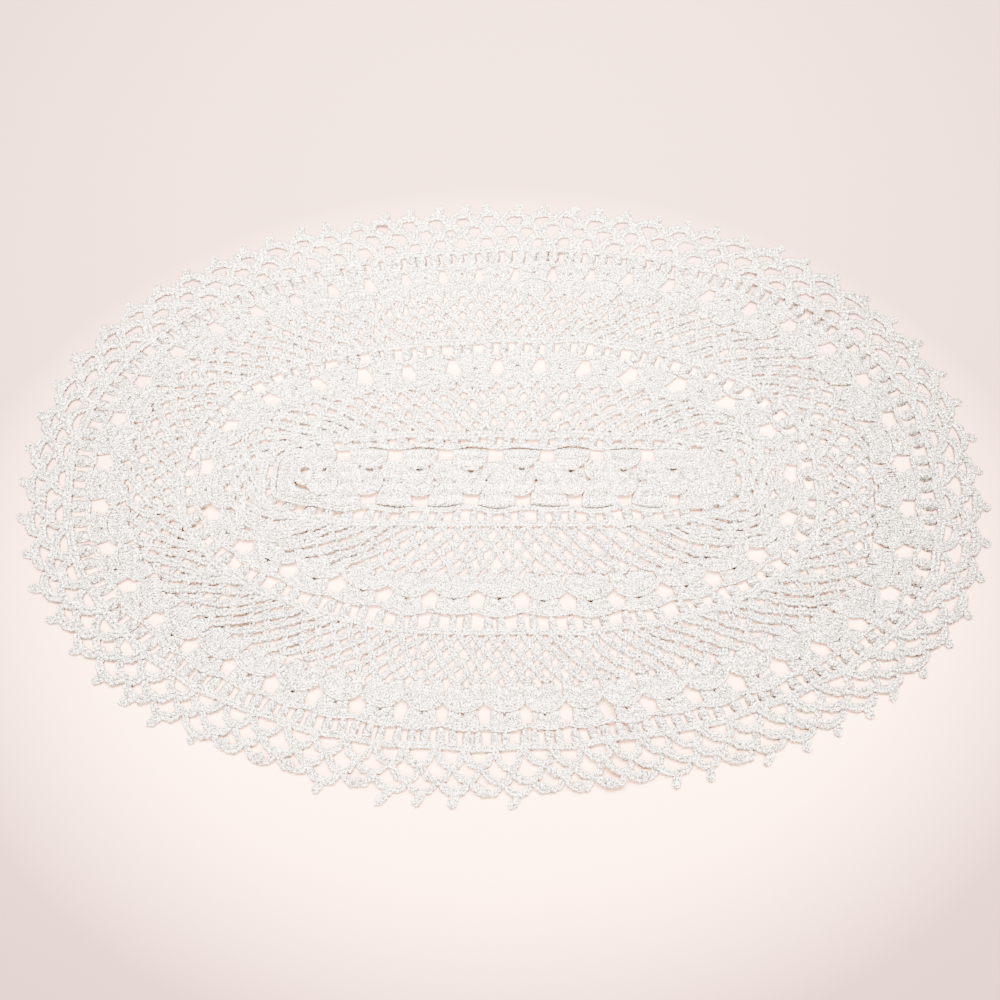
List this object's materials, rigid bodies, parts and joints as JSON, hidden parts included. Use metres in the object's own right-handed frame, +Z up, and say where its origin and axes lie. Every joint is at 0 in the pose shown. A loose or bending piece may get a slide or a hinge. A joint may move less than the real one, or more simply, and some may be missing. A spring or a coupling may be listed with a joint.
{
  "type": "oval lace doily",
  "caption": "Flat oval crocheted lace doily with a raised centre braid, fan bands, diamond mesh and a picot-edged net border.",
  "frame": {"origin": "centre of the oval's box on the surface that the doily lies on", "axes": "+X along the long axis, +Y across it, +Z up from the surface"},
  "size_m": [0.4182, 0.2792, 0.005],
  "materials": {
    "white_cotton": "matt, lightly mercerised crochet cotton"
  },
  "bodies": {
    "root": {"doily": "white_cotton"}
  },
  "joints": []
}
